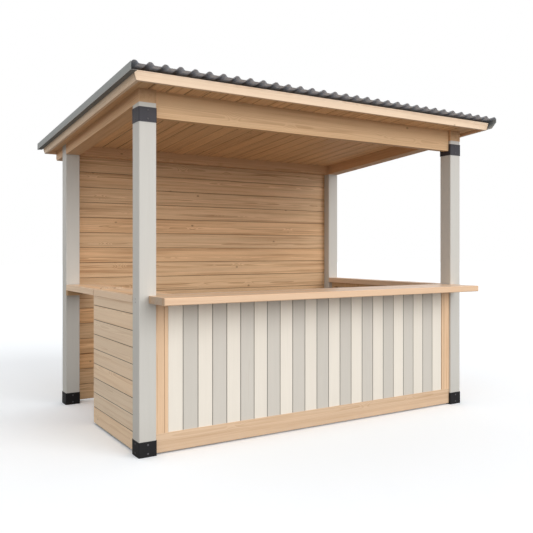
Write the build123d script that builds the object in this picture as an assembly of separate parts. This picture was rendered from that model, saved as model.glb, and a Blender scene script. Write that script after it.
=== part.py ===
from build123d import *
import os
from math import cos, radians, sin, tan

# Wooden market stall: four posts on steel shoes carry a lean-to roof of corrugated sheet.
# Boarded panels close the front, the sides and the back, with counters on three sides
# and a hinged flap over the doorway on the left.
# +X runs along the front from left to right, +Y from front to back and +Z up. The origin is
# the middle of the four posts' footprint at ground level. Lengths are in millimetres.

# Post frame
FRAME_WIDTH = 3000.0
FRAME_DEPTH = 1880.0
POST_SIZE = 120.0
POST_EASE = 4.0

# Steel shoes and collars round the posts
STEEL = 3.0
STEEL_GAP = 0.3
SHOE_HEIGHT = 102.0
SHOE_PLATE = 4.0
COLLAR_HEIGHT = 97.0
COLLAR_BELOW_BEAM = 30.0

# Roof line: the underside of the ceiling boards, with its height at the front posts' face
ROOF_SLOPE = 4.0
CEILING_HEIGHT = 2411.0
CEILING_THICKNESS = 18.0
FRONT_EAVE = 213.0
BACK_EAVE = 233.0
SIDE_EAVE = 118.0

# Beams under the roof
SIDE_BEAM_DEPTH = 89.0
SIDE_BEAM_EASE = 20.0
FRONT_BEAM_DEPTH = 179.0
FRONT_BEAM_THICKNESS = 60.0
FRONT_BEAM_SETBACK = 20.0
BACK_BEAM_THICKNESS = 70.0
BACK_BEAM_SETBACK = 10.0
BACK_BEAM_DEPTH = 86.0

# Purlins and edge boards of the roof
PURLIN_WIDTH = 70.0
PURLIN_HEIGHT = 40.0
PURLIN_COUNT = 4
PURLIN_SETBACK = 100.0
EDGE_BOARD_THICKNESS = 22.0
EDGE_BOARD_HEIGHT = 63.0
EDGE_DROP = 25.0
EDGE_LEAN = 20.0

# Corrugated sheet
SHEET_SKIN = 1.5
WAVE_PITCH = 102.0
WAVE_DEPTH = 18.0
WAVE_FLANK = 48.0
CREST_WIDTH = 20.0
CREST_BEND = 16.0
VALLEY_BEND = 12.0
CREST_TO_EDGE = 22.0
SHEET_SIDE_LAP = 34.0
SHEET_FRONT_LAP = 55.0
SHEET_BACK_LAP = 38.0
SHEET_SEAT = 0.2

# Metal trim along the sheet's side edges
TRIM_SKIN = 1.5
TRIM_GAP = 1.0
TRIM_BELOW_CREST = 9.0
TRIM_LEFT_BAND = 54.0
TRIM_LEFT_FOOT = 19.0
TRIM_RIGHT_BAND = 34.0
TRIM_RIGHT_FOOT = -23.0

# Counters
COUNTER_TOP = 1055.0
COUNTER_THICKNESS = 48.0
COUNTER_REACH = 265.0
COUNTER_END_INSET = 66.0
COUNTER_LEFT_WIDTH = 290.0
COUNTER_RIGHT_LAP = 15.0
COUNTER_EASE = 4.0

# Panels below the counters
BOARD_THICKNESS = 18.0
PANEL_BOTTOM = 12.0
PANEL_SETBACK = 16.0
BOARD_INSET = 5.0
STILE_WIDTH = 90.0
STILE_THICKNESS = 28.0
BOTTOM_RAIL_TOP = 137.0
TOP_RAIL_HEIGHT = 70.0
TOP_RAIL_THICKNESS = 45.0
BATTEN = 45.0
SIDE_SETBACK = 14.0
SIDE_PANEL_LENGTH = 890.0

# Back wall
BACK_BOARD_THICKNESS = 20.0
BACK_BOTTOM = 15.0
CLEAT_WIDTH = 70.0
CLEAT_THICKNESS = 20.0

# Counter flap over the doorway
FLAP_SEAM = 850.0
FLAP_HINGE_GAP = 8.0
FLAP_END_GAP = 8.0
FLAP_REST_GAP = 0.3
REST_HEIGHT = 45.0
HINGE_RISE = 6.0
HINGE_BARREL = 10.0
HINGE_PIN = 5.0
HINGE_PIN_GAP = 0.1
HINGE_WIDTH = 60.0
HINGE_KNUCKLE = 20.0
HINGE_KNUCKLE_GAP = 0.5
HINGE_LEAF_REACH = 32.0
HINGE_LEAF_THICKNESS = 2.5
HINGE_INSET = 60.0

# Places that several pieces share
POST_OUT_X = FRAME_WIDTH / 2
POST_IN_X = POST_OUT_X - POST_SIZE
FRONT_FACE = -FRAME_DEPTH / 2
FRONT_POST_BACK = FRONT_FACE + POST_SIZE
BACK_FACE = FRAME_DEPTH / 2
BACK_POST_FRONT = BACK_FACE - POST_SIZE
WALL_BACK = BACK_FACE - CLEAT_THICKNESS
COUNTER_UNDERSIDE = COUNTER_TOP - COUNTER_THICKNESS
FASCIA_FRONT = FRONT_FACE - FRONT_EAVE
FASCIA_BACK = BACK_FACE + BACK_EAVE
EDGE_OUT_X = POST_OUT_X + SIDE_EAVE
SHEET_BED = CEILING_THICKNESS + PURLIN_HEIGHT
SHEET_EDGE_X = EDGE_OUT_X + SHEET_SIDE_LAP
OUTER_CREST_X = SHEET_EDGE_X - CREST_TO_EDGE
WAVE_STEPS = round(2 * OUTER_CREST_X / WAVE_PITCH)
WAVE_STEP = 2 * OUTER_CREST_X / WAVE_STEPS
COLLAR_TOP = CEILING_HEIGHT - SIDE_BEAM_DEPTH - COLLAR_BELOW_BEAM
SIDES = {"left": -1, "right": 1}
SEAM_Y = FRONT_POST_BACK + FLAP_SEAM
HINGE_Y = SEAM_Y + FLAP_HINGE_GAP / 2
HINGE_Z = COUNTER_TOP + HINGE_RISE
FLAP_IN_X = -POST_OUT_X + COUNTER_LEFT_WIDTH


def block(x_range, y_range, z_range):
    """A square-cut piece between two limits along each axis, given in either order."""
    low = [min(r) for r in (x_range, y_range, z_range)]
    high = [max(r) for r in (x_range, y_range, z_range)]
    size = [h - l for l, h in zip(low, high)]
    return Pos(*low) * Box(*size, align=(Align.MIN, Align.MIN, Align.MIN))


def roof_z(y, rise=0.0):
    """Height of the roof line at a depth, raised straight up by rise."""
    return CEILING_HEIGHT - (y - FRONT_FACE) * tan(radians(ROOF_SLOPE)) + rise


def raked(x_range, y_range, low_rise, high_rise):
    """A roof piece with plumb ends, its faces a set rise above the sloping roof line."""
    x_low, x_high = min(x_range), max(x_range)
    y_low, y_high = min(y_range), max(y_range)
    outline = Polyline(
        (y_low, roof_z(y_low, low_rise)),
        (y_high, roof_z(y_high, low_rise)),
        (y_high, roof_z(y_high, high_rise)),
        (y_low, roof_z(y_low, high_rise)),
        close=True,
    )
    return Plane.YZ.offset(x_low) * extrude(make_face(outline), amount=x_high - x_low)


def under_roof(piece, rise=0.0):
    """The piece with everything above the raised roof line cut away."""
    box = piece.bounding_box()
    x_range = (box.min.X - 1, box.max.X + 1)
    y_range = (box.min.Y - 1, box.max.Y + 1)
    return piece - raked(x_range, y_range, rise, box.max.Z)


def down_slope(profile, y_front, y_back):
    """A profile drawn across the roof at its front end, run down the slope to y_back."""
    fall = radians(ROOF_SLOPE)
    length = (y_back - y_front) / cos(fall)
    face = Plane.XZ.offset(-y_front) * profile
    return extrude(face, amount=length, dir=(0, cos(fall), -sin(fall)))


def eased(piece, axis, amount):
    """The piece with its edges along one axis chamfered."""
    return chamfer(piece.edges().filter_by(axis), amount)


def post_x(side):
    """The X limits of a post on one side."""
    return (SIDES[side] * POST_IN_X, SIDES[side] * POST_OUT_X)


def post_y(row):
    """The Y limits of a post in the front or back row."""
    return (FRONT_FACE, FRONT_POST_BACK) if row == "front" else (BACK_POST_FRONT, BACK_FACE)


def post(side, row):
    """A square post from its shoe plate up, cut to the side beam that it carries."""
    blank = block(post_x(side), post_y(row), (SHOE_PLATE, CEILING_HEIGHT))
    blank = eased(blank, Axis.Z, POST_EASE)
    if row == "front":
        return under_roof(blank, -SIDE_BEAM_DEPTH)
    return under_roof(blank) - (beam_bar(side) - beam_notch(side))


def steel_sleeve(side, row, z_low, z_high):
    """A square steel band round a post."""
    middle = (sum(post_x(side)) / 2, sum(post_y(row)) / 2, z_low)
    inner = POST_SIZE + 2 * STEEL_GAP
    outer = inner + 2 * STEEL
    ring = RectangleRounded(outer, outer, STEEL + POST_EASE) - RectangleRounded(inner, inner, POST_EASE)
    return Pos(*middle) * extrude(ring, amount=z_high - z_low)


def shoe(side, row):
    """A cup of folded steel that keeps the foot of a post off the ground."""
    middle = (sum(post_x(side)) / 2, sum(post_y(row)) / 2, 0)
    outer = POST_SIZE + 2 * STEEL_GAP + 2 * STEEL
    plate = Pos(*middle) * extrude(RectangleRounded(outer, outer, STEEL + POST_EASE), amount=SHOE_PLATE)
    return plate + steel_sleeve(side, row, SHOE_PLATE, SHOE_HEIGHT)


def shoe_room(side, row):
    """The space that a shoe takes up, which the panels beside it are notched round."""
    reach = STEEL + 2 * STEEL_GAP
    x_low, x_high = sorted(post_x(side))
    y_low, y_high = post_y(row)
    x_range = (x_low - reach, x_high + reach)
    return block(x_range, (y_low - reach, y_high + reach), (0, SHOE_HEIGHT + STEEL_GAP))


def collar(side):
    """A steel band round the head of a front post, at the front beam."""
    return steel_sleeve(side, "front", COLLAR_TOP - COLLAR_HEIGHT, COLLAR_TOP)


def beam_bar(side):
    """A side beam at its full section, from the front post's face to the back fascia."""
    tail = FASCIA_BACK - EDGE_BOARD_THICKNESS
    bar = raked(post_x(side), (FRONT_FACE, tail), -SIDE_BEAM_DEPTH, 0)
    low_edge = bar.edges().filter_by(Axis.X).group_by(Axis.Y)[-1].sort_by(Axis.Z)[0]
    return chamfer(low_edge, SIDE_BEAM_EASE)


def beam_notch(side):
    """The outer half of the room over a back post, where the post laps past its beam."""
    middle = SIDES[side] * (POST_OUT_X - POST_SIZE / 2)
    x_range = (middle, SIDES[side] * POST_OUT_X)
    return raked(x_range, post_y("back"), -SIDE_BEAM_DEPTH, 0)


def side_beam(side):
    """A beam that lies on both posts of one side, notched where the back post laps past it."""
    return beam_bar(side) - beam_notch(side)


def front_beam():
    """The deep beam between the collars of the front posts."""
    end = POST_IN_X - STEEL_GAP - STEEL
    y_front = FRONT_FACE + FRONT_BEAM_SETBACK
    y_range = (y_front, y_front + FRONT_BEAM_THICKNESS)
    z_range = (CEILING_HEIGHT - FRONT_BEAM_DEPTH, CEILING_HEIGHT)
    return under_roof(block((-end, end), y_range, z_range))


def back_beam():
    """The beam between the side beams over the back wall."""
    y_front = BACK_POST_FRONT + BACK_BEAM_SETBACK
    return raked((-POST_IN_X, POST_IN_X), (y_front, y_front + BACK_BEAM_THICKNESS), -BACK_BEAM_DEPTH, 0)


def edge_face(rise):
    """How far out the leaning face of a barge board stands at a height above the roof line."""
    return EDGE_OUT_X - EDGE_LEAN * (1 - (rise + EDGE_DROP) / EDGE_BOARD_HEIGHT)


def roof_layer(y_range, low_rise, high_rise, inset):
    """A layer of the roof between two rises, its ends leaning with the barge boards."""
    y_front, y_back = y_range
    low_x = edge_face(low_rise) - inset
    high_x = edge_face(high_rise) - inset
    z_low, z_high = roof_z(y_front, low_rise), roof_z(y_front, high_rise)
    outline = Polyline((-low_x, z_low), (low_x, z_low), (high_x, z_high), (-high_x, z_high), close=True)
    return down_slope(make_face(outline), y_front, y_back)


def ceiling():
    """The layer of ceiling boards, which lies on the beams and shows under the eaves."""
    y_range = (FASCIA_FRONT + EDGE_BOARD_THICKNESS, FASCIA_BACK - EDGE_BOARD_THICKNESS)
    return roof_layer(y_range, 0, CEILING_THICKNESS, EDGE_BOARD_THICKNESS)


def purlin(index):
    """One of the battens across the roof that carry the sheet."""
    first = FASCIA_FRONT + EDGE_BOARD_THICKNESS + PURLIN_SETBACK
    last = FASCIA_BACK - EDGE_BOARD_THICKNESS - PURLIN_SETBACK - PURLIN_WIDTH
    y_front = first + (last - first) * index / (PURLIN_COUNT - 1)
    end = edge_face(CEILING_THICKNESS) - EDGE_BOARD_THICKNESS
    return raked((-end, end), (y_front, y_front + PURLIN_WIDTH), CEILING_THICKNESS, SHEET_BED)


def fascia(row):
    """The edge board across the front or back of the roof, which covers the barge boards' ends."""
    y_front = FASCIA_FRONT if row == "front" else FASCIA_BACK - EDGE_BOARD_THICKNESS
    y_range = (y_front, y_front + EDGE_BOARD_THICKNESS)
    return roof_layer(y_range, -EDGE_DROP, EDGE_BOARD_HEIGHT - EDGE_DROP, 0)


def barge_board(side):
    """The edge board along one side of the roof, which leans out from its foot to its head."""
    y_front = FASCIA_FRONT + EDGE_BOARD_THICKNESS
    head_rise = EDGE_BOARD_HEIGHT - EDGE_DROP
    foot, head = edge_face(-EDGE_DROP), edge_face(head_rise)
    z_low, z_high = roof_z(y_front, -EDGE_DROP), roof_z(y_front, head_rise)
    inner = [(head - EDGE_BOARD_THICKNESS, z_high), (foot - EDGE_BOARD_THICKNESS, z_low)]
    profile = make_face(Polyline((foot, z_low), (head, z_high), *inner, close=True))
    if SIDES[side] < 0:
        profile = mirror(profile, about=Plane.YZ)
    return down_slope(profile, y_front, FASCIA_BACK - EDGE_BOARD_THICKNESS)


def wave_line(valley_z, half_crest, crest_radius, valley_radius):
    """One surface of the corrugated sheet: round crests with broad flat valleys between them."""
    flank = tan(radians(WAVE_FLANK))
    crest_z = valley_z + WAVE_DEPTH
    half_foot = half_crest + WAVE_DEPTH / flank
    edge_z = crest_z - (CREST_TO_EDGE - half_crest) * flank
    points = [(-SHEET_EDGE_X, edge_z)]
    radii = []
    for wave in range(WAVE_STEPS):
        crest_x = wave * WAVE_STEP - OUTER_CREST_X
        next_x = crest_x + WAVE_STEP
        points += [(crest_x - half_crest, crest_z), (crest_x + half_crest, crest_z)]
        points += [(crest_x + half_foot, valley_z), (next_x - half_foot, valley_z)]
        radii += [crest_radius, crest_radius, valley_radius, valley_radius]
    points += [(OUTER_CREST_X - half_crest, crest_z), (OUTER_CREST_X + half_crest, crest_z)]
    radii += [crest_radius, crest_radius]
    points.append((SHEET_EDGE_X, edge_z))
    return FilletPolyline(*points, radius=radii)


def roof_sheet():
    """The corrugated metal sheet, which rests with its valleys on the purlins."""
    y_front = FASCIA_FRONT - SHEET_FRONT_LAP
    bottom = roof_z(y_front, SHEET_BED + SHEET_SEAT)
    half = CREST_WIDTH / 2
    wider = half + SHEET_SKIN * tan(radians(WAVE_FLANK / 2))
    lower = wave_line(bottom, half, CREST_BEND, VALLEY_BEND + SHEET_SKIN)
    upper = wave_line(bottom + SHEET_SKIN, wider, CREST_BEND + SHEET_SKIN, VALLEY_BEND)
    left = Line(lower @ 0, upper @ 0)
    right = Line(lower @ 1, upper @ 1)
    profile = make_face([lower, right, upper, left])
    return down_slope(profile, y_front, FASCIA_BACK + SHEET_BACK_LAP)


def verge_trim(side, band, foot):
    """Folded metal that covers the sheet's edge and returns to the edge board at foot."""
    y_front = FASCIA_FRONT - SHEET_FRONT_LAP
    crest = SHEET_BED + SHEET_SEAT + WAVE_DEPTH + SHEET_SKIN
    top = roof_z(y_front, crest - TRIM_BELOW_CREST)
    inner_x = SHEET_EDGE_X + TRIM_GAP
    outer_x = inner_x + TRIM_SKIN
    foot_z = roof_z(y_front, foot)
    band_bottom = top - band
    drop = TRIM_SKIN if band_bottom - foot_z < outer_x - EDGE_OUT_X else 2 * TRIM_SKIN
    outline = Polyline(
        (inner_x, top),
        (outer_x, top),
        (outer_x, band_bottom),
        (edge_face(foot), foot_z),
        (edge_face(foot + drop), foot_z + drop),
        (inner_x, band_bottom + drop),
        close=True,
    )
    profile = make_face(outline)
    if SIDES[side] < 0:
        profile = mirror(profile, about=Plane.YZ)
    return down_slope(profile, y_front, FASCIA_BACK + SHEET_BACK_LAP)


def back_wall():
    """The horizontal boards of the back wall, from above the ground to the ceiling."""
    y_range = (WALL_BACK - BACK_BOARD_THICKNESS, WALL_BACK)
    boards = under_roof(block((-POST_IN_X, POST_IN_X), y_range, (BACK_BOTTOM, CEILING_HEIGHT)))
    return boards - shoe_room("left", "back") - shoe_room("right", "back")


def wall_cleat(side):
    """An upright beside a back post, behind the wall boards, that their ends are fixed to."""
    inner = SIDES[side] * POST_IN_X
    x_range = (inner, inner - SIDES[side] * CLEAT_WIDTH)
    cleat = under_roof(block(x_range, (WALL_BACK, BACK_FACE), (BACK_BOTTOM, CEILING_HEIGHT)))
    return cleat - shoe_room(side, "back")


def front_boards():
    """The upright boards between the front panel's stiles, above its bottom rail."""
    end = POST_IN_X - STILE_WIDTH
    y_front = FRONT_FACE + PANEL_SETBACK + BOARD_INSET
    y_range = (y_front, y_front + BOARD_THICKNESS)
    return block((-end, end), y_range, (BOTTOM_RAIL_TOP, COUNTER_UNDERSIDE))


def front_stile(side):
    """The upright at one end of the front panel, which stands on its bottom rail."""
    inner = SIDES[side] * POST_IN_X
    x_range = (inner, inner - SIDES[side] * STILE_WIDTH)
    y_front = FRONT_FACE + PANEL_SETBACK
    y_range = (y_front, y_front + STILE_THICKNESS)
    return block(x_range, y_range, (BOTTOM_RAIL_TOP, COUNTER_UNDERSIDE))


def front_bottom_rail():
    """The rail under the front panel, from post to post, notched round their shoes."""
    y_front = FRONT_FACE + PANEL_SETBACK
    y_range = (y_front, y_front + STILE_THICKNESS)
    rail = block((-POST_IN_X, POST_IN_X), y_range, (PANEL_BOTTOM, BOTTOM_RAIL_TOP))
    return rail - shoe_room("left", "front") - shoe_room("right", "front")


def front_top_rail():
    """The rail behind the front panel that carries the counter between the posts."""
    y_front = FRONT_FACE + PANEL_SETBACK + STILE_THICKNESS
    y_range = (y_front, y_front + TOP_RAIL_THICKNESS)
    z_range = (COUNTER_UNDERSIDE - TOP_RAIL_HEIGHT, COUNTER_UNDERSIDE)
    return block((-POST_IN_X, POST_IN_X), y_range, z_range)


def side_panel_end(side):
    """Where the panel on one side ends: short of the doorway, or at the back post."""
    return FRONT_POST_BACK + SIDE_PANEL_LENGTH if side == "left" else BACK_POST_FRONT


def side_boards(side):
    """The horizontal boards of one side panel."""
    outer = SIDES[side] * (POST_OUT_X - SIDE_SETBACK)
    x_range = (outer, outer - SIDES[side] * BOARD_THICKNESS)
    y_range = (FRONT_POST_BACK, side_panel_end(side))
    boards = block(x_range, y_range, (PANEL_BOTTOM, COUNTER_UNDERSIDE))
    return boards - shoe_room(side, "front") - shoe_room(side, "back")


def side_frame(side):
    """The battens behind one side panel, joined as a ladder frame under the counter."""
    outer = SIDES[side] * (POST_OUT_X - SIDE_SETBACK - BOARD_THICKNESS)
    x_range = (outer, outer - SIDES[side] * BATTEN)
    y_low, y_high = FRONT_POST_BACK, side_panel_end(side)
    z_low, z_high = PANEL_BOTTOM, COUNTER_UNDERSIDE
    frame = block(x_range, (y_low, y_high), (z_low, z_high))
    bays = 1 if side == "left" else 2
    bay = (y_high - y_low - BATTEN) / bays
    for number in range(bays):
        y_start = y_low + number * bay + BATTEN
        frame -= block(x_range, (y_start, y_start + bay - BATTEN), (z_low + BATTEN, z_high - BATTEN))
    return frame - shoe_room(side, "front") - shoe_room(side, "back")


def counter_front():
    """The front counter, cut round the front posts so that its nose runs past them."""
    nose_x = POST_OUT_X - COUNTER_END_INSET
    z_range = (COUNTER_UNDERSIDE, COUNTER_TOP)
    nose = block((-nose_x, nose_x), (FRONT_FACE - COUNTER_REACH, FRONT_FACE), z_range)
    nose = eased(nose, Axis.Z, COUNTER_EASE)
    front_edges = nose.edges().filter_by(Axis.X).group_by(Axis.Y)[0]
    nose = chamfer(front_edges, COUNTER_EASE)
    return nose + block((-POST_IN_X, POST_IN_X), (FRONT_FACE, FRONT_POST_BACK), z_range)


def counter_left():
    """The fixed part of the left counter, from the front counter to the flap's seam."""
    x_range = (-POST_OUT_X, FLAP_IN_X)
    return block(x_range, (FRONT_POST_BACK, SEAM_Y), (COUNTER_UNDERSIDE, COUNTER_TOP))


def counter_right():
    """The narrow counter on the right, between the posts."""
    x_range = (POST_IN_X, POST_OUT_X + COUNTER_RIGHT_LAP)
    return block(x_range, (FRONT_POST_BACK, BACK_POST_FRONT), (COUNTER_UNDERSIDE, COUNTER_TOP))


def counter_flap():
    """The hinged part of the left counter, which lifts to open the doorway."""
    y_range = (SEAM_Y + FLAP_HINGE_GAP, BACK_POST_FRONT - FLAP_END_GAP)
    return block((-POST_OUT_X, FLAP_IN_X), y_range, (COUNTER_UNDERSIDE, COUNTER_TOP))


def flap_rest():
    """The cleat on the back post that the free end of the flap lies on."""
    z_high = COUNTER_UNDERSIDE - FLAP_REST_GAP
    y_range = (BACK_POST_FRONT - BATTEN, BACK_POST_FRONT)
    return block(post_x("left"), y_range, (z_high - REST_HEIGHT, z_high))


def hinge_middle(index):
    """The X place of one of the flap's two hinges."""
    outer = -POST_OUT_X + HINGE_INSET + HINGE_WIDTH / 2
    inner = FLAP_IN_X - HINGE_INSET - HINGE_WIDTH / 2
    return outer if index == 1 else inner


def barrel(x_range, diameter):
    """A round length of hinge on the flap's axis."""
    start = Plane(origin=(min(x_range), HINGE_Y, HINGE_Z), z_dir=(1, 0, 0))
    return start * extrude(Circle(diameter / 2), amount=max(x_range) - min(x_range))


def hinge_leaf(index, direction):
    """The flat leaf of a hinge, from under the barrel to its reach on one side."""
    middle = hinge_middle(index)
    y_range = (HINGE_Y, HINGE_Y + direction * HINGE_LEAF_REACH)
    z_range = (COUNTER_TOP, COUNTER_TOP + HINGE_LEAF_THICKNESS)
    return block((middle - HINGE_WIDTH / 2, middle + HINGE_WIDTH / 2), y_range, z_range)


def knuckle_room(index):
    """The space that the flap's knuckle needs between the two fixed knuckles."""
    middle = hinge_middle(index)
    half = HINGE_KNUCKLE / 2 + HINGE_KNUCKLE_GAP
    reach = HINGE_BARREL / 2 + HINGE_KNUCKLE_GAP
    y_range = (HINGE_Y - reach, HINGE_Y + reach)
    return block((middle - half, middle + half), y_range, (COUNTER_TOP, HINGE_Z + reach))


def hinge_fixed(index):
    """The leaf on the fixed counter with its two outer knuckles and the riveted pin."""
    middle = hinge_middle(index)
    limits = (middle - HINGE_WIDTH / 2, middle + HINGE_WIDTH / 2)
    knuckles = barrel(limits, HINGE_BARREL) + hinge_leaf(index, -1)
    return knuckles - knuckle_room(index) + barrel(limits, HINGE_PIN)


def hinge_flap(index):
    """The leaf on the flap with its single middle knuckle."""
    middle = hinge_middle(index)
    half = HINGE_KNUCKLE / 2
    knuckle = barrel((middle - half, middle + half), HINGE_BARREL)
    reach = HINGE_BARREL / 2 + HINGE_KNUCKLE_GAP
    clear = block(
        (middle - HINGE_WIDTH / 2, middle + HINGE_WIDTH / 2),
        (HINGE_Y, HINGE_Y + reach),
        (COUNTER_TOP, HINGE_Z),
    )
    neck_top = COUNTER_TOP + HINGE_LEAF_THICKNESS
    neck = block((middle - half, middle + half), (HINGE_Y, HINGE_Y + reach), (COUNTER_TOP, neck_top))
    leaf = hinge_leaf(index, 1) - clear + neck
    return leaf + knuckle - barrel((middle - half, middle + half), HINGE_PIN + 2 * HINGE_PIN_GAP)


def stall():
    """Every sub-part of the stall by its name."""
    parts = {}
    for row in ("front", "back"):
        for side in SIDES:
            parts[f"post_{row}_{side}"] = post(side, row)
            parts[f"shoe_{row}_{side}"] = shoe(side, row)
        parts[f"fascia_{row}"] = fascia(row)
    for side in SIDES:
        parts[f"collar_{side}"] = collar(side)
        parts[f"side_beam_{side}"] = side_beam(side)
        parts[f"barge_board_{side}"] = barge_board(side)
        parts[f"wall_cleat_{side}"] = wall_cleat(side)
        parts[f"front_stile_{side}"] = front_stile(side)
        parts[f"side_boards_{side}"] = side_boards(side)
        parts[f"side_frame_{side}"] = side_frame(side)
    for index in range(PURLIN_COUNT):
        parts[f"purlin_{index + 1}"] = purlin(index)
    for index in (1, 2):
        parts[f"hinge_{index}_fixed_leaf"] = hinge_fixed(index)
        parts[f"hinge_{index}_flap_leaf"] = hinge_flap(index)
    parts["front_beam"] = front_beam()
    parts["back_beam"] = back_beam()
    parts["ceiling_boards"] = ceiling()
    parts["roof_sheet"] = roof_sheet()
    parts["verge_trim_left"] = verge_trim("left", TRIM_LEFT_BAND, TRIM_LEFT_FOOT)
    parts["verge_trim_right"] = verge_trim("right", TRIM_RIGHT_BAND, TRIM_RIGHT_FOOT)
    parts["back_wall"] = back_wall()
    parts["front_boards"] = front_boards()
    parts["front_bottom_rail"] = front_bottom_rail()
    parts["front_top_rail"] = front_top_rail()
    parts["counter_front"] = counter_front()
    parts["counter_left"] = counter_left()
    parts["counter_right"] = counter_right()
    parts["counter_flap"] = counter_flap()
    parts["flap_rest"] = flap_rest()
    return parts


os.makedirs("parts", exist_ok=True)
for name, solid in stall().items():
    export_step(solid, f"parts/{name}.step")
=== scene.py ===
import math
import random

import bmesh
import bpy
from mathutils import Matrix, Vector


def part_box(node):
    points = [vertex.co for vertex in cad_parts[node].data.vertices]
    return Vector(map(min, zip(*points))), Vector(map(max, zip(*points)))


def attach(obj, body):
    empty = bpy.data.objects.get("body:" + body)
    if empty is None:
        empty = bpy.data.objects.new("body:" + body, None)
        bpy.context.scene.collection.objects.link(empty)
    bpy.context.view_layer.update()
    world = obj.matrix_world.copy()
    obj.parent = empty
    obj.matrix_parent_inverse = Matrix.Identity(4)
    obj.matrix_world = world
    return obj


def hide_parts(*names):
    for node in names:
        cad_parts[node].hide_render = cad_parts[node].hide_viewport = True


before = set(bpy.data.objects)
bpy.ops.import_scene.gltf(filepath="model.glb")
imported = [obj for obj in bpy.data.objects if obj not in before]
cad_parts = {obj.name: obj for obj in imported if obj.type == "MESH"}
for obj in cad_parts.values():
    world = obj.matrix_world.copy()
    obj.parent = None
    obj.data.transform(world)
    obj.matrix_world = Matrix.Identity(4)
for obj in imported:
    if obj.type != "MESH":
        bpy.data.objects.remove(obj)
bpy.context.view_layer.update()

# Wooden market stall. +X runs along the front from left to right, +Y to the back and +Z up,
# in metres, with the origin on the ground in the middle of the posts. The solids give every
# size. Panels, wall, ceiling and front stiles become separate boards here, the screws are
# added, and each piece gets its finish.

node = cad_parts
X, Y, Z = 0, 1, 2

# Camera, fitted to the photo: angles in degrees, focal length and horizon in the photo's pixels
IMAGE_PIXELS = 533
HORIZON_ROW = 251.12
FOCAL_PIXELS = 659.45
CAMERA_PLACE = (-3.0578, -5.0153, 1.3488)
CAMERA_HEADING = -31.856
SENSOR_WIDTH = 36

# Light: what the world and the floor give the stall, and the floor's own look. The world is
# plain white where the camera sees it.
WORLD_LEVEL = 0.78
FLOOR_BOUNCE = (0.27, 0.27, 0.27, 1)
FLOOR_SEEN = (1.09, 1.12, 1.15, 1)
FLOOR_REACH = 60
STALL_MIDDLE = (0, 0, 1.0)

# Roof: the edge boards lean out by this share of their height
ROOF_SLOPE = math.tan(math.radians(4.0))
EDGE_LEAN = 20 / 63
ROOF_CRESTS = 33
CREST_TO_EDGE = 0.022
SCREWED_CREST = 3
PURLINS = 4

# Boards: how far one reaches from joint to joint, and where the joints begin
FRONT_BOARDS = 23
SIDE_COVER = 0.113
SIDE_FIRST_JOINT = 0.1376
WALL_COVER = 0.1365
CEILING_COVER = 0.1335
CEILING_FIRST_JOINT = -1.435
SMALLEST_BOARD = 0.02
TOP_JOINT_GAP = 0.0016
SHOE_GAP = 0.0037
STILE_STRIP = 0.064
STAVE = 0.058

# Tongue and groove between matched boards
TONGUE_HALF = 0.0028
TONGUE_REACH = 0.006
GROOVE_PLAY = 0.0003
GROOVE_REST = 0.001

# Growth of the wood: the width of a year's ring
RING_WIDTH = 0.0048

# Screws: places from the edges of what they hold
SHOE_SCREW_INSET = 0.022
COLLAR_SCREW_INSET = 0.020
COUNTER_SCREW_HEIGHTS = (1.012, 1.034)
COUNTER_SCREW_OFFSET = 0.008
HINGE_LEAF = 0.0025
HINGE_SCREW_INSET = 0.010
HINGE_SCREW_END = 0.012

# Heads as (radius, height) pairs in metres, the pan head's as shares of its size
PAN_HEAD = [(1.0, 0.0), (1.0, 0.25), (0.88, 0.62), (0.62, 0.9), (0.46, 0.97), (0.36, 0.94),
            (0.34, 0.5)]
COUNTERSUNK_HEAD = [(0.0036, 0.0), (0.0034, 0.0004), (0.0022, 0.0006), (0.0012, 0.0005),
                    (0.0011, 0.0002)]
ROOF_WASHER = [(0.0070, -0.0004), (0.0078, 0.0006), (0.0070, 0.0016)]
ROOF_FLANGE = [(0.0074, 0.0016), (0.0074, 0.0022), (0.0052, 0.0026)]
ROOF_HEXAGON = [(0.0040, 0.0026), (0.0040, 0.0060), (0.0034, 0.0066)]


def link(made):
    """Puts an object in the scene."""
    bpy.context.scene.collection.objects.link(made)
    return made


# ---- Camera ----

camera = link(bpy.data.objects.new("photo_camera", bpy.data.cameras.new("photo_camera")))
camera.location = CAMERA_PLACE
camera.rotation_euler = (math.radians(90), 0, math.radians(CAMERA_HEADING))
camera.data.sensor_width = SENSOR_WIDTH
camera.data.lens = SENSOR_WIDTH * FOCAL_PIXELS / IMAGE_PIXELS
camera.data.shift_y = (HORIZON_ROW - IMAGE_PIXELS / 2) / IMAGE_PIXELS
camera.data.clip_end = 200
bpy.context.scene.camera = camera
bpy.context.scene.view_settings.view_transform = "Standard"


# ---- Shader maths ----


def tint(red, green, blue):
    """A colour from its 0 to 255 values, as the shader's linear colour."""
    parts = [value / 255 for value in (red, green, blue)]
    return tuple(p / 12.92 if p <= 0.04045 else ((p + 0.055) / 1.055) ** 2.4 for p in parts) + (1,)


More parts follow.
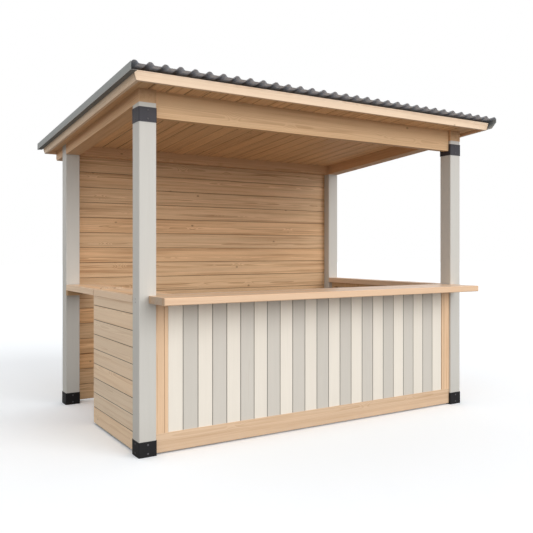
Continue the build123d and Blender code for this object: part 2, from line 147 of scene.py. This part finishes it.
class Reading:
    """A socket of a shader, worked with like a number."""

    def __init__(self, shader, socket):
        self.shader = shader
        self.socket = socket

    def maths(self, operation, *values):
        return self.shader.node("ShaderNodeMath", {"operation": operation}, dict(enumerate(values)))

    def __add__(self, other):
        return self.maths("ADD", self, other)

    def __radd__(self, other):
        return self.maths("ADD", other, self)

    def __sub__(self, other):
        return self.maths("SUBTRACT", self, other)

    def __rsub__(self, other):
        return self.maths("SUBTRACT", other, self)

    def __mul__(self, other):
        return self.maths("MULTIPLY", self, other)

    def __truediv__(self, other):
        return self.maths("DIVIDE", self, other)

    def __pow__(self, other):
        return self.maths("POWER", self, other)

    def __abs__(self):
        return self.maths("ABSOLUTE", self)

    def at_least(self, other):
        return self.maths("MAXIMUM", self, other)

    def at_most(self, other):
        return self.maths("MINIMUM", self, other)

    def steps(self):
        return self.maths("FLOOR", self)

    def part(self):
        return self.maths("FRACT", self)

    def fade(self, start, end):
        """Goes smoothly from 0 at start to 1 at end."""
        return self.shader.node(
            "ShaderNodeMapRange",
            {"interpolation_type": "SMOOTHSTEP"},
            {0: self, 1: start, 2: end, 3: 0.0, 4: 1.0},
        )


class Shader:
    """A node tree under construction."""

    def __init__(self, owner):
        owner.use_nodes = True
        self.owner = owner
        self.tree = owner.node_tree
        self.tree.nodes.clear()

    def node(self, kind, settings=None, values=None, output=0):
        """One node of any kind, its settings made and its inputs set or linked."""
        made = self.tree.nodes.new(kind)
        for name, setting in (settings or {}).items():
            setattr(made, name, setting)
        for socket, value in (values or {}).items():
            if isinstance(value, Reading):
                self.tree.links.new(value.socket, made.inputs[socket])
            else:
                made.inputs[socket].default_value = value
        return Reading(self, made.outputs[output]) if len(made.outputs) else None


class Finish(Shader):
    """A material under construction."""

    def __init__(self, name):
        super().__init__(bpy.data.materials.new(name))

    def apart(self, vector):
        made = self.node("ShaderNodeSeparateXYZ", None, {0: vector})
        return [Reading(self, socket) for socket in made.socket.node.outputs]

    def together(self, x, y, z):
        return self.node("ShaderNodeCombineXYZ", None, {0: x, 1: y, 2: z})

    def attribute(self, name, output="Fac"):
        return self.node("ShaderNodeAttribute", {"attribute_name": name}, output=output)

    def noise(self, vector, detail=2.0, roughness=0.5, scale=1.0):
        values = {"Vector": vector, "Scale": scale, "Detail": detail, "Roughness": roughness}
        return self.node("ShaderNodeTexNoise", None, values)

    def drawn(self, log, along, across, detail=2.0, roughness=0.5):
        """Noise drawn out along the grain: its waves in a metre along and across."""
        run, side, depth = log
        spot = self.together(run * along, side * across, depth * across)
        return self.noise(spot, detail, roughness)

    def mix(self, factor, first, second, how="MIX"):
        settings = {"data_type": "RGBA", "blend_type": how}
        return self.node("ShaderNodeMix", settings, {0: factor, 6: first, 7: second}, output=2)

    def shade(self, colour, amount):
        """The colour times a reading."""
        return self.mix(1.0, colour, self.together(amount, amount, amount), how="MULTIPLY")

    def facing(self):
        """Which way the surface faces, on the three axes."""
        return self.apart(self.node("ShaderNodeTexCoord", output="Normal"))

    def surface(self, colour, roughness, height, distance, strength, **others):
        """Ends the material, with a bump of some distance and strength."""
        relief = {"Height": height, "Distance": distance, "Strength": strength}
        bump = self.node("ShaderNodeBump", None, relief)
        values = {"Base Color": colour, "Roughness": roughness, "Normal": bump}
        values.update({name.replace("_", " "): value for name, value in others.items()})
        shader = self.node("ShaderNodeBsdfPrincipled", None, values)
        self.node("ShaderNodeOutputMaterial", None, {"Surface": shader})
        return self.owner


def limits(name, lean=0.0):
    """The lowest and highest corner of a node, its heights measured from the leaning roof line."""
    points = [Vector((v.co.x, v.co.y, v.co.z + lean * v.co.y)) for v in node[name].data.vertices]
    low = Vector(min(p[i] for p in points) for i in range(3))
    high = Vector(max(p[i] for p in points) for i in range(3))
    return low, high


def place_of(finish, lean=0.0):
    """Where a point is on the object, its height measured from the leaning roof line."""
    x, y, z = finish.apart(finish.node("ShaderNodeTexCoord", output="Object"))
    if lean:
        z = z + y * lean
    return x, y, z


def edge_of(place, box, width):
    """1 at the edges of a square-cut piece, falling to 0 over the width."""
    gaps = []
    for reading, low, high in zip(place, *box):
        gaps.append((high - low) / 2 - abs(reading - (low + high) / 2))
    near = gaps[0].at_most(gaps[1])
    far = gaps[0].at_least(gaps[1])
    second = near.at_least(far.at_most(gaps[2]))
    return 1 - second.fade(0.0, width)


def by_grain(place, along):
    """The three readings with the grain's axis first."""
    return [place[along]] + [place[i] for i in range(3) if i != along]


# ---- Finishes ----


def wood(name, along, light, dark, box=None, seed=0, boards=False, staves=None, warm=None,
         lean=0.0, figure=1.0, knots=1.0, rough=0.52, shine=0.35, spread=0.13, bands=0.12,
         seam=0.7, ends=0.16, painted_top_light=0.0):
    """Softwood cut from a log: rings round its heart, fibres, streaks and knots along one axis.

    A board brings its own place in the log, its tone and its joints. A single piece gets its
    place from the seed, and one glued from staves changes it at each stave.
    """
    finish = Finish(name)
    place = place_of(finish, lean)
    tone = None
    if boards:
        shift = finish.apart(finish.attribute("grain", "Vector"))
        tone = finish.attribute("tone")
    else:
        chance = random.Random(seed)
        shift = [
            -(a + b) / 2 + chance.choice((-1, 1)) * chance.uniform(0.02, 0.05)
            for a, b in zip(*box)
        ]
        shift[along] = chance.uniform(-9, 9)
    run, side, depth = by_grain([a + b for a, b in zip(place, shift)], along)
    if staves is not None:
        across, width = staves
        number = (place[across] / width).steps() + seed
        tone = finish.node("ShaderNodeTexWhiteNoise", {"noise_dimensions": "1D"}, {"W": number})
        side = side + tone * 0.31
        run = run + tone * 7.0
    log = run, side, depth

    # Knots stand along the grain and push the rings aside
    cells = finish.together(run * 4.2, side * 6.3, depth * 6.3)
    nearest = {"Vector": cells, "Scale": 1.0, "Randomness": 1.0}
    knot = finish.node("ShaderNodeTexVoronoi", None, nearest, output="Distance")
    heart = (1 - knot.fade(0.035, 0.075)) * knots
    pull = 1 - knot.fade(0.03, 0.34)
    knot_ring = (knot * 60).part().fade(0.2, 0.9)

    # Year rings round the heart of a log that isn't quite straight
    side_bent = side + (finish.drawn(log, 0.55, 3) - 0.5) * 0.055
    depth_bent = depth + (finish.drawn(log, 2.6, 14) - 0.5) * 0.010
    radius = (side_bent * side_bent + depth_bent * depth_bent) ** 0.5 + pull * 0.012
    growth = (radius / RING_WIDTH).part()
    late = growth.fade(0.35, 0.93) * (1 - growth.fade(0.95, 1.0))

    fibre = finish.drawn(log, 9, 420)
    streak = finish.drawn(log, 0.9, 46, detail=3.0, roughness=0.6)
    cloud = finish.drawn(log, 1.3, 6)
    band = finish.drawn(log, 0.8, 24, detail=3.0, roughness=0.65)

    ink = (late * 0.36 + streak.fade(0.42, 0.78) * 0.5 + (fibre - 0.5) * 0.32) * figure
    colour = finish.mix(ink.at_least(0.0).at_most(1.0), light, dark)
    level = 0.93 + cloud * 0.14 + (band - 0.5) * bands
    if tone is not None:
        level = level * (1 - spread / 2 + tone * spread)
        if warm is not None:
            warmer = finish.mix(1.0, colour, warm, how="MULTIPLY")
            colour = finish.mix(tone.fade(0.2, 0.9) * 0.75, colour, warmer)
    colour = finish.shade(colour, level)
    colour = finish.mix(heart * (0.62 + knot_ring * 0.3), colour, finish.shade(dark, 0.55))

    # End grain is darker, upward faces get a painted highlight, joints get painted shade and
    # corners are rubbed
    facing = finish.facing()
    end = abs(facing[along]).fade(0.7, 0.9)
    colour = finish.shade(colour, (1 - end * ends) * (1 + facing[Z].fade(0.6, 0.95) * painted_top_light))
    if boards:
        colour = finish.shade(colour, 1 - finish.attribute("joint") * seam)
    else:
        rubbed = edge_of(place, box, 0.0045) * (0.4 + cloud)
        colour = finish.shade(colour, 1 + rubbed * 0.08)
    roughness = rough + (streak - 0.5) * 0.16 + end * 0.2 + heart * 0.05
    height = late * 0.5 + fibre * 0.7 - heart * 0.6
    return finish.surface(colour, roughness, height, 0.0005, 0.45, Specular_IOR_Level=shine)


def paint(name, along, colour, box=None, seed=0, boards=False, foot=0.0):
    """Matt paint on planed wood: brush marks and grain show through, edges and foot are worn."""
    finish = Finish(name)
    place = place_of(finish)
    log = place
    if boards:
        shift = finish.apart(finish.attribute("grain", "Vector"))
        log = [a + b for a, b in zip(place, shift)]
    run, side, depth = by_grain(log, along)
    log = run + random.Random(seed).uniform(-9, 9), side, depth
    brush = finish.drawn(log, 1.6, 170, detail=3.0, roughness=0.6)
    grain = finish.drawn(log, 2.2, 52, detail=3.0)
    cloud = finish.drawn(log, 1.5, 5, detail=3.0)
    level = 0.955 + cloud * 0.06 + (brush - 0.5) * 0.05 + (grain - 0.5) * 0.06
    if boards:
        level = level * (0.975 + finish.attribute("tone") * 0.05)
    shaded = finish.shade(colour, level)
    wear = cloud.fade(0.60, 0.72) * grain.fade(0.55, 0.75) * 0.25
    if box is not None:
        wear = wear + edge_of(place, box, 0.0035) * cloud.fade(0.5, 0.68) * 0.55
    shaded = finish.mix(wear.at_most(0.7), shaded, tint(176, 156, 130))
    if boards:
        # Painted shade on the faces inside the joints
        shaded = finish.shade(shaded, 1 - finish.attribute("joint") * 0.45)
    dust = (1 - place[Z].fade(0.02, 0.34)) * (0.35 + cloud) * foot
    shaded = finish.mix(dust.at_most(1.0), shaded, tint(158, 146, 128))
    roughness = 0.50 + (brush - 0.5) * 0.12 + dust * 0.3
    height = brush * 0.4 + grain
    return finish.surface(shaded, roughness, height, 0.0004, 0.5, Specular_IOR_Level=0.35)


def coated_steel(name, colour, worn, box=None, rough=0.42, seed=0):
    """Powder-coated steel: a fine orange-peel skin, clouded with dust, rubbed at the edges."""
    finish = Finish(name)
    place = place_of(finish)
    x, y, z = place
    spot = finish.together(x + seed, y, z)
    peel = finish.noise(spot, scale=900.0)
    cloud = finish.noise(spot, detail=3.0, scale=14.0)
    scuff = finish.noise(finish.together(x * 40, y * 40, z * 400))
    shaded = finish.shade(colour, 0.85 + cloud * 0.35)
    rubbed = cloud.fade(0.62, 0.75) * scuff.fade(0.55, 0.7) * 0.4
    if box is not None:
        rubbed = rubbed + edge_of(place, box, 0.003) * (0.25 + cloud * 0.6)
    shaded = finish.mix(rubbed.at_most(1.0) * 0.5, shaded, worn)
    roughness = rough + cloud * 0.16
    return finish.surface(shaded, roughness, peel, 0.00015, 0.35, Specular_IOR_Level=0.3)


def roof_metal(name, colour, dusty, backing_and_shade, box, seed=0):
    """Coated sheet: dust in the valleys, rain streaks down the slope, another colour on faces
    turned down: a backing coat under the sheet, painted shade under the trims.
    """
    finish = Finish(name)
    x, y, z = place_of(finish, ROOF_SLOPE)
    low, high = box
    rise = (z - low.z) / (high.z - low.z)
    rain = finish.noise(finish.together(x * 34 + seed, y * 0.9, 0.0), detail=3.0, roughness=0.6)
    cloud = finish.noise(finish.together(x * 2.2, y * 2.2 + seed, 0.0), detail=4.0)
    speck = finish.noise(finish.together(x, y, z), scale=160.0)
    dust = (1 - rise.fade(0.05, 0.65)) * (0.3 + rain * 0.9) * 0.5 + cloud.fade(0.5, 0.75) * 0.22
    shaded = finish.mix(dust.at_most(1.0), colour, dusty)
    # Faces turned down take the other colour: the sheet's backing coat, painted shade on the trims
    shaded = finish.mix(1 - finish.facing()[Z].fade(-0.25, 0.0), shaded, backing_and_shade)
    shaded = finish.shade(shaded, 0.90 + rain * 0.12 + speck * 0.10)
    roughness = 0.50 + dust * 0.3 + speck * 0.08
    return finish.surface(shaded, roughness, speck, 0.0002, 0.3, Specular_IOR_Level=0.4)


def bright_steel(name, colour):
    """Zinc-plated steel with fine drawn lines and a dull bloom."""
    finish = Finish(name)
    x, y, z = place_of(finish)
    line = finish.noise(finish.together(x * 60, y * 900, z * 900))
    bloom = finish.noise(finish.together(x, y, z), detail=3.0, scale=70.0)
    roughness = 0.34 + bloom * 0.2 + (line - 0.5) * 0.1
    shaded = finish.shade(colour, 0.75 + bloom * 0.4)
    return finish.surface(shaded, roughness, line, 0.0001, 0.3, Metallic=1.0)


def rubber(name, colour):
    """Weathered sealing rubber with a fine matt skin."""
    finish = Finish(name)
    bloom = finish.noise(finish.together(*place_of(finish)), detail=3.0, scale=260.0)
    shaded = finish.shade(colour, 0.8 + bloom * 0.5)
    return finish.surface(shaded, 0.75 + bloom * 0.15, bloom, 0.0002, 0.4)


# ---- Forms ----


class Shape:
    """A mesh of loose parts. Each board carries its place in the log, its tone and its joints."""

    def __init__(self, seed=0, lean=0.0):
        self.mesh = bmesh.new()
        self.grain = self.mesh.verts.layers.float_vector.new("grain")
        self.tone = self.mesh.verts.layers.float.new("tone")
        self.joint = self.mesh.verts.layers.float.new("joint")
        self.chance = random.Random(seed)
        self.lean = lean

    def mark(self, verts, along):
        """Gives one board its own place round the heart, stretch of grain and tone."""
        points = [(v.co.x, v.co.y, v.co.z + self.lean * v.co.y) for v in verts]
        offset = [-(min(p[i] for p in points) + max(p[i] for p in points)) / 2 for i in range(3)]
        turn = self.chance.uniform(0, 2 * math.pi)
        reach = self.chance.uniform(0.02, 0.065)
        side, depth = [i for i in range(3) if i != along]
        offset[side] += reach * math.cos(turn)
        offset[depth] += reach * math.sin(turn)
        offset[along] = self.chance.uniform(-9, 9)
        tone = self.chance.random()
        for vert in verts:
            vert[self.grain] = offset
            vert[self.tone] = tone

    def length(self, outline, place, start, end, along):
        """A board with one outline from start to end; place turns (u, v, t) into a point.

        u runs across the board and v into it, so what lies between front and back is a joint.
        """
        near = [self.mesh.verts.new(place(u, v, start)) for u, v in outline]
        far = [self.mesh.verts.new(place(u, v, end)) for u, v in outline]
        self.mesh.faces.new(near)
        self.mesh.faces.new(far)
        for i in range(len(outline)):
            j = (i + 1) % len(outline)
            self.mesh.faces.new((near[i], near[j], far[j], far[i]))
        back = max(v for u, v in outline)
        for vert, (u, v) in zip(near + far, outline * 2):
            vert[self.joint] = 0.0 if v in (0, back) else 1.0
        self.mark(near + far, along)

    def turned(self, profile, centre, out, steps=14, slot=0):
        """A round part: (radius, height) pairs turned about the direction out."""
        out = Vector(out).normalized()
        first = out.orthogonal().normalized()
        second = out.cross(first)
        rings = []
        for radius, height in profile:
            ring = []
            for k in range(steps):
                angle = 2 * math.pi * k / steps
                spoke = first * math.cos(angle) + second * math.sin(angle)
                ring.append(self.mesh.verts.new(Vector(centre) + out * height + spoke * radius))
            rings.append(ring)
        faces = [self.mesh.faces.new(rings[0]), self.mesh.faces.new(rings[-1])]
        for lower, upper in zip(rings, rings[1:]):
            for k in range(steps):
                j = (k + 1) % steps
                faces.append(self.mesh.faces.new((lower[k], lower[j], upper[j], upper[k])))
        for face in faces:
            face.material_index = slot

    def piece(self, name, body, materials, replaces=()):
        """The finished object, riding on its body."""
        bmesh.ops.recalc_face_normals(self.mesh, faces=self.mesh.faces)
        data = bpy.data.meshes.new(name)
        self.mesh.to_mesh(data)
        self.mesh.free()
        for material in materials:
            data.materials.append(material)
        made = link(bpy.data.objects.new(name, data))
        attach(made, body)
        if replaces:
            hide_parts(*replaces)


def board_outline(start, end, thickness, ease, gap, tongue, groove):
    """A matched board across its width: a tongue on the far edge, a groove in the near one."""
    near, far = start + gap, end - gap
    middle = thickness / 2
    points = [(near + ease, 0), (far - ease, 0), (far, ease)]
    if tongue:
        half, tip = TONGUE_HALF, far + TONGUE_REACH
        points += [(far, middle - half), (tip, middle - half)]
        points += [(tip, middle + half), (far, middle + half)]
    points += [(far, thickness - ease), (far - ease, thickness)]
    points += [(near + ease, thickness), (near, thickness - ease)]
    if groove:
        half, bed = TONGUE_HALF + GROOVE_PLAY, near + TONGUE_REACH + GROOVE_REST
        points += [(near, middle + half), (bed, middle + half)]
        points += [(bed, middle - half), (near, middle - half)]
    points.append((near, ease))
    return points


def strip_outline(start, end, thickness, near_joint, far_joint):
    """A plain strip across its width, its front corner eased where it meets another strip."""
    ease, gap = 0.0016, 0.0006
    near = start + (gap if near_joint else 0.0)
    far = end - (gap if far_joint else 0.0)
    points = [(near + ease, 0), (near, ease)] if near_joint else [(near, 0)]
    points += [(near, thickness), (far, thickness)]
    points += [(far, ease), (far - ease, 0)] if far_joint else [(far, 0)]
    return points


def lay(shape, joints, thickness, place, span, along, only=None, ease=0.003, gap=0.0015):
    """Matched boards between the joints, or every other one; span gives the ends of each."""
    last = len(joints) - 2
    for i in range(last + 1):
        if only is None or i % 2 == only:
            ends = joints[i], joints[i + 1]
            outline = board_outline(*ends, thickness, ease, gap, tongue=i < last, groove=i > 0)
            shape.length(outline, place, *span(joints[i]), along)


def joints_between(low, high, first, cover):
    """Board edges from low to high, with joints at a regular cover from the first one."""
    count = int((high - first - SMALLEST_BOARD) / cover) + 1
    return [low] + [first + cover * k for k in range(count)] + [high]


shoe_top = limits("shoe_front_left")[1].z


def clear_of_shoe(joint):
    """What a board leaves free at its ends where it passes the shoes."""
    return SHOE_GAP if joint < shoe_top else 0.0


# ---- Boarded pieces ----

# Front panel: upright boards, cream and grey in turn
low, high = limits("front_boards")
width = (high.x - low.x) / FRONT_BOARDS
joints = [low.x + width * k for k in range(FRONT_BOARDS + 1)]
coats = [
    ("cream", paint("cream_board_paint", Z, tint(243, 235, 222), seed=3, boards=True, foot=0.05)),
    ("grey", paint("grey_board_paint", Z, tint(214, 208, 198), seed=5, boards=True, foot=0.05)),
]
for number, (coat, material) in enumerate(coats):
    shape = Shape(seed=11 + number)
    lay(shape, joints, high.y - low.y, lambda u, v, t: (u, low.y + v, t),
        lambda joint: (low.z, high.z), Z, only=number, ease=0.0028)
    replaced = ["front_boards"] if number == 0 else []
    shape.piece(f"front_boards_{coat}", "stall", [material], replaced)

# Stiles at the ends of the front panel: a wide strip beside the post and a narrow one inside it
stile_wood = wood("front_stile_wood", Z, tint(238, 203, 167), tint(202, 156, 112), boards=True,
                  knots=0.5, figure=0.8, spread=0.08, seam=0.3)
for side, seed in (("left", 15), ("right", 13)):
    low, high = limits(f"front_stile_{side}")
    seam = low.x + STILE_STRIP if side == "left" else high.x - STILE_STRIP
    strips = [(low.x, seam, False, True), (seam, high.x, True, False)]
    shape = Shape(seed=seed)
    for start, end, near_joint, far_joint in strips if side == "left" else reversed(strips):
        outline = strip_outline(start, end, high.y - low.y, near_joint, far_joint)
        shape.length(outline, lambda u, v, t: (u, low.y + v, t), low.z, high.z, Z)
    stile = f"front_stile_{side}"
    shape.piece(f"{stile}_strips", "stall", [stile_wood], [stile])

# Side panels: level boards outside the battens
side_wood = wood("side_board_wood", Y, tint(244, 222, 195), tint(212, 180, 145), boards=True,
                 warm=tint(255, 246, 236), knots=0.5)
for side, seed in (("left", 22), ("right", 24)):
    low, high = limits(f"side_boards_{side}")
    joints = joints_between(low.z, high.z, SIDE_FIRST_JOINT, SIDE_COVER)
    outer, inward = (low.x, 1) if side == "left" else (high.x, -1)

    def span(joint):
        """The right panel stands between two shoes, the left one ends at the doorway."""
        clear = clear_of_shoe(joint)
        return low.y + clear, high.y - (clear if side == "right" else 0.0)

    shape = Shape(seed=seed)
    lay(shape, joints, high.x - low.x, lambda u, v, t: (outer + inward * v, t, u), span, Y,
        ease=0.0020, gap=0.0016)
    replaced = [f"side_boards_{side}"]
    shape.piece(f"side_panel_boards_{side}", "stall", [side_wood], replaced)

# Back wall: level boards between the back posts
low, high = limits("back_wall")
count = int((high.z - low.z - SMALLEST_BOARD) / WALL_COVER) + 1
joints = [low.z + WALL_COVER * k for k in range(count)] + [high.z - TOP_JOINT_GAP]
wall_wood = wood("wall_board_wood", X, tint(234, 196, 153), tint(166, 117, 70), boards=True,
                 warm=tint(255, 240, 222), knots=0.8, figure=1.15, spread=0.16, bands=0.42,
                 seam=0.4)
shape = Shape(seed=33)
lay(shape, joints, high.y - low.y, lambda u, v, t: (t, low.y + v, u),
    lambda joint: (low.x + clear_of_shoe(joint), high.x - clear_of_shoe(joint)), X)
shape.piece("back_wall_boards", "stall", [wall_wood], ["back_wall"])

# Ceiling: boards from front to back, laid down the roof's slope on the beams
low, high = limits("ceiling_boards", ROOF_SLOPE)
lean_in = (high.z - low.z) * EDGE_LEAN
joints = joints_between(low.x + lean_in, high.x - lean_in, CEILING_FIRST_JOINT, CEILING_COVER)
ceiling_wood = wood("ceiling_board_wood", Y, tint(240, 198, 150), tint(178, 128, 80), boards=True,
                    lean=ROOF_SLOPE, knots=0.8, spread=0.16, bands=0.22, seam=0.5)
shape = Shape(seed=43, lean=ROOF_SLOPE)
lay(shape, joints, high.z - low.z, lambda u, v, t: (u, t, low.z + v - ROOF_SLOPE * t),
    lambda joint: (low.y, high.y), Y, ease=0.0058)
shape.piece("ceiling_planks", "stall", [ceiling_wood], ["ceiling_boards"])


# ---- Pieces that keep their form ----


def dress(name, material):
    """Gives a carried-over node its finish."""
    node[name].data.materials.clear()
    node[name].data.materials.append(material)


# Light and dark wood of each kind of piece
PALE = tint(248, 220, 190), tint(216, 178, 138)
BEAM = tint(224, 184, 142), tint(182, 134, 86)
FRONT_BEAM = tint(228, 189, 144), tint(182, 134, 86)
RAIL = tint(226, 195, 163), tint(190, 149, 109)
SAWN = tint(212, 178, 138), tint(168, 124, 82)
COUNTER = tint(233, 207, 181), tint(203, 167, 132)
# The left counter and its flap: a paler copy of the counter wood, painted light
LEFT_COUNTER_PAINTED_LIGHT = tint(246, 218, 187), tint(214, 177, 138)

timber = [
    ("front_beam", X, FRONT_BEAM, 0.0, None),
    ("back_beam", X, BEAM, 0.0, None),
    ("side_beam_left", Y, BEAM, ROOF_SLOPE, None),
    ("side_beam_right", Y, BEAM, ROOF_SLOPE, None),
    ("fascia_front", X, PALE, 0.0, None),
    ("fascia_back", X, PALE, 0.0, None),
    ("barge_board_left", Y, PALE, ROOF_SLOPE, None),
    ("barge_board_right", Y, PALE, ROOF_SLOPE, None),
    ("front_bottom_rail", X, RAIL, 0.0, None),
    ("front_top_rail", X, SAWN, 0.0, None),
    ("wall_cleat_left", Z, BEAM, 0.0, None),
    ("wall_cleat_right", Z, BEAM, 0.0, None),
    ("side_frame_left", Z, SAWN, 0.0, None),
    ("side_frame_right", Z, SAWN, 0.0, None),
    ("flap_rest", X, SAWN, 0.0, None),
    ("counter_front", X, COUNTER, 0.0, Y),
    ("counter_left", Y, LEFT_COUNTER_PAINTED_LIGHT, 0.0, X),
    ("counter_right", Y, COUNTER, 0.0, X),
    ("counter_flap", Y, LEFT_COUNTER_PAINTED_LIGHT, 0.0, X),
]
for number, (name, along, (light, dark), lean, across) in enumerate(timber):
    # The flap is sawn off the left counter, so staves and grain run on from one to the other
    seed = 79 if name in ("counter_left", "counter_flap") else 60 + number
    style = {"knots": 0.7}
    if across is not None:
        # Counters: glued staves, and a painted highlight on their upward faces
        style = {"staves": (across, STAVE), "knots": 0.0, "rough": 0.38, "shine": 0.5,
                 "ends": 0.32, "painted_top_light": 0.10}
    dress(name, wood(f"{name}_wood", along, light, dark, box=limits(name, lean), seed=seed,
                     warm=tint(255, 238, 218), lean=lean, figure=0.8, **style))
# The purlins are sawn from one log as wide as the roof
roof_timber = Vector((-2, -2, 2.2)), Vector((2, 2, 2.6))
sawn_wood = wood("purlin_wood", X, *SAWN, box=roof_timber, seed=90, rough=0.7)
for k in range(1, PURLINS + 1):
    dress(f"purlin_{k}", sawn_wood)

# Posts, painted, on their steel shoes and with steel collars under the beams
posts = ("post_front_left", "post_front_right", "post_back_left", "post_back_right")
for number, name in enumerate(posts):
    dress(name, paint(f"{name}_paint", Z, tint(208, 205, 198), box=limits(name),
                      seed=100 + number, foot=0.12))
for number, name in enumerate(n for n in node if n.startswith(("shoe_", "collar_"))):
    coat = tint(24, 23, 25) if name.startswith("shoe") else tint(54, 52, 58)
    dress(name, coated_steel(f"{name}_coat", coat, tint(104, 102, 104), box=limits(name),
                             seed=number * 3.0))

# Roof sheet and its trims
dress("roof_sheet", roof_metal("roof_sheet_coat", tint(128, 130, 135), tint(156, 156, 155),
                               tint(198, 206, 219), limits("roof_sheet", ROOF_SLOPE), seed=1.0))
# Painted shade: the trims' faces turned down are darker
for number, name in enumerate(("verge_trim_left", "verge_trim_right")):
    dress(name, roof_metal(f"{name}_coat", tint(152, 155, 153), tint(172, 170, 164),
                           tint(120, 121, 120), limits(name, ROOF_SLOPE), seed=4.0 + number))

hinge_steel = bright_steel("hinge_plate_steel", (0.56, 0.42, 0.29, 1))
for name in node:
    if name.startswith("hinge_"):
        dress(name, hinge_steel)


# ---- Screws ----


def pan(radius, height):
    """The profile of a domed head with a round drive in it."""
    return [(radius * r, height * h) for r, h in PAN_HEAD]


# In each open face of shoes and collars
black_screw = coated_steel("black_screw_coat", tint(84, 83, 86), tint(150, 148, 148), rough=0.35)
steel_pan = pan(0.0068, 0.0030)
shape = Shape()
for name in ("shoe_front_left", "shoe_front_right", "shoe_back_left", "shoe_back_right",
             "collar_left", "collar_right"):
    low, high = limits(name)
    middle = (low + high) / 2
    inset = COLLAR_SCREW_INSET if name.startswith("collar") else SHOE_SCREW_INSET
    for z in (low.z + inset, high.z - inset):
        shape.turned(steel_pan, (middle.x, low.y, z), (0, -1, 0))
        if middle.x < 0:
            shape.turned(steel_pan, (low.x, middle.y, z), (-1, 0, 0))
        else:
            shape.turned(steel_pan, (high.x, middle.y, z), (1, 0, 0))
        if "back" in name:
            shape.turned(steel_pan, (middle.x, high.y, z), (0, 1, 0))
shape.piece("steel_fixing_screws", "stall", [black_screw])

# Through the left front post into the counter
plain_screw = bright_steel("plain_screw_steel", (0.42, 0.41, 0.40, 1))
low, high = limits("post_front_left")
shape = Shape()
for z in COUNTER_SCREW_HEIGHTS:
    centre = (low.x, (low.y + high.y) / 2 + COUNTER_SCREW_OFFSET, z)
    shape.turned(pan(0.0045, 0.0018), centre, (-1, 0, 0))
shape.piece("post_counter_screws", "stall", [plain_screw])

# On every third crest of the roof over the purlins, with rubber washers
roof_screw = coated_steel("roof_screw_coat", tint(96, 97, 99), tint(150, 150, 150), rough=0.4)
washer_rubber = rubber("washer_rubber", tint(44, 44, 46))
low, high = limits("roof_sheet", ROOF_SLOPE)
step = (high.x - low.x - 2 * CREST_TO_EDGE) / (ROOF_CRESTS - 1)
roof_up = Vector((0, ROOF_SLOPE, 1))
shape = Shape()
for k in range(1, PURLINS + 1):
    near, far = limits(f"purlin_{k}")
    y = (near.y + far.y) / 2
    for crest in range(1, ROOF_CRESTS, SCREWED_CREST):
        top = Vector((low.x + CREST_TO_EDGE + step * crest, y, high.z - ROOF_SLOPE * y))
        shape.turned(ROOF_WASHER, top, roof_up, steps=16, slot=1)
        shape.turned(ROOF_FLANGE, top, roof_up, steps=16)
        shape.turned(ROOF_HEXAGON, top, roof_up, steps=6)
shape.piece("roof_screws", "stall", [roof_screw, washer_rubber])

# Sunk in the hinge leaves
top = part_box("counter_left")[1].z + HINGE_LEAF
for body, kind in (("stall", "fixed"), ("flap", "flap")):
    shape = Shape()
    for k in (1, 2):
        low, high = limits(f"hinge_{k}_{kind}_leaf")
        y = low.y + HINGE_SCREW_INSET if kind == "fixed" else high.y - HINGE_SCREW_INSET
        for x in (low.x + HINGE_SCREW_END, (low.x + high.x) / 2, high.x - HINGE_SCREW_END):
            shape.turned(COUNTERSUNK_HEAD, (x, y, top), (0, 0, 1), steps=12)
    shape.piece(f"hinge_screws_{kind}", body, [plain_screw])


# ---- Floor, background and light ----

floor_finish = Finish("studio_floor")
straight = floor_finish.node("ShaderNodeLightPath", output="Is Camera Ray")
floor_colour = floor_finish.mix(straight, FLOOR_BOUNCE, FLOOR_SEEN)
floor_shader = floor_finish.node("ShaderNodeBsdfDiffuse", None, {"Color": floor_colour})
floor_finish.node("ShaderNodeOutputMaterial", None, {"Surface": floor_shader})
floor_mesh = bmesh.new()
corners = [(-FLOOR_REACH, -FLOOR_REACH), (FLOOR_REACH, -FLOOR_REACH), (FLOOR_REACH, FLOOR_REACH),
           (-FLOOR_REACH, FLOOR_REACH)]
floor_mesh.faces.new([floor_mesh.verts.new((x, y, 0.0)) for x, y in corners])
floor_data = bpy.data.meshes.new("studio_floor")
floor_mesh.to_mesh(floor_data)
floor_mesh.free()
floor_data.materials.append(floor_finish.owner)
link(bpy.data.objects.new("studio_floor", floor_data))

# The world is pure white to the eye, in reflections and through openings, and lower as a lamp
bpy.context.scene.world = bpy.data.worlds.new("studio")
studio = Shader(bpy.context.scene.world)
seen, mirrored, passed = [
    studio.node("ShaderNodeLightPath", output=ray)
    for ray in ("Is Camera Ray", "Is Glossy Ray", "Is Transmission Ray")
]
white = seen.at_least(mirrored).at_least(passed)
levels = {"Value": white, "To Min": WORLD_LEVEL, "To Max": 1.0}
strength = studio.node("ShaderNodeMapRange", None, levels)
sky = {"Color": (1, 1, 1, 1), "Strength": strength}
background = studio.node("ShaderNodeBackground", None, sky)
studio.node("ShaderNodeOutputWorld", None, {"Surface": background})


def lamp(name, place, strength, angle):
    """A broad soft lamp, far enough away to light the whole stall evenly."""
    data = bpy.data.lights.new(name, "SUN")
    data.energy = strength
    data.angle = math.radians(angle)
    made = link(bpy.data.objects.new(name, data))
    made.location = place
    aim = Vector(STALL_MIDDLE) - Vector(place)
    made.rotation_euler = aim.to_track_quat("-Z", "Y").to_euler()


lamp("key_light", (2.6, -6.6, 3.7), strength=1.66, angle=50)
lamp("left_light", (-7.0, -3.0, 1.9), strength=0.40, angle=30)
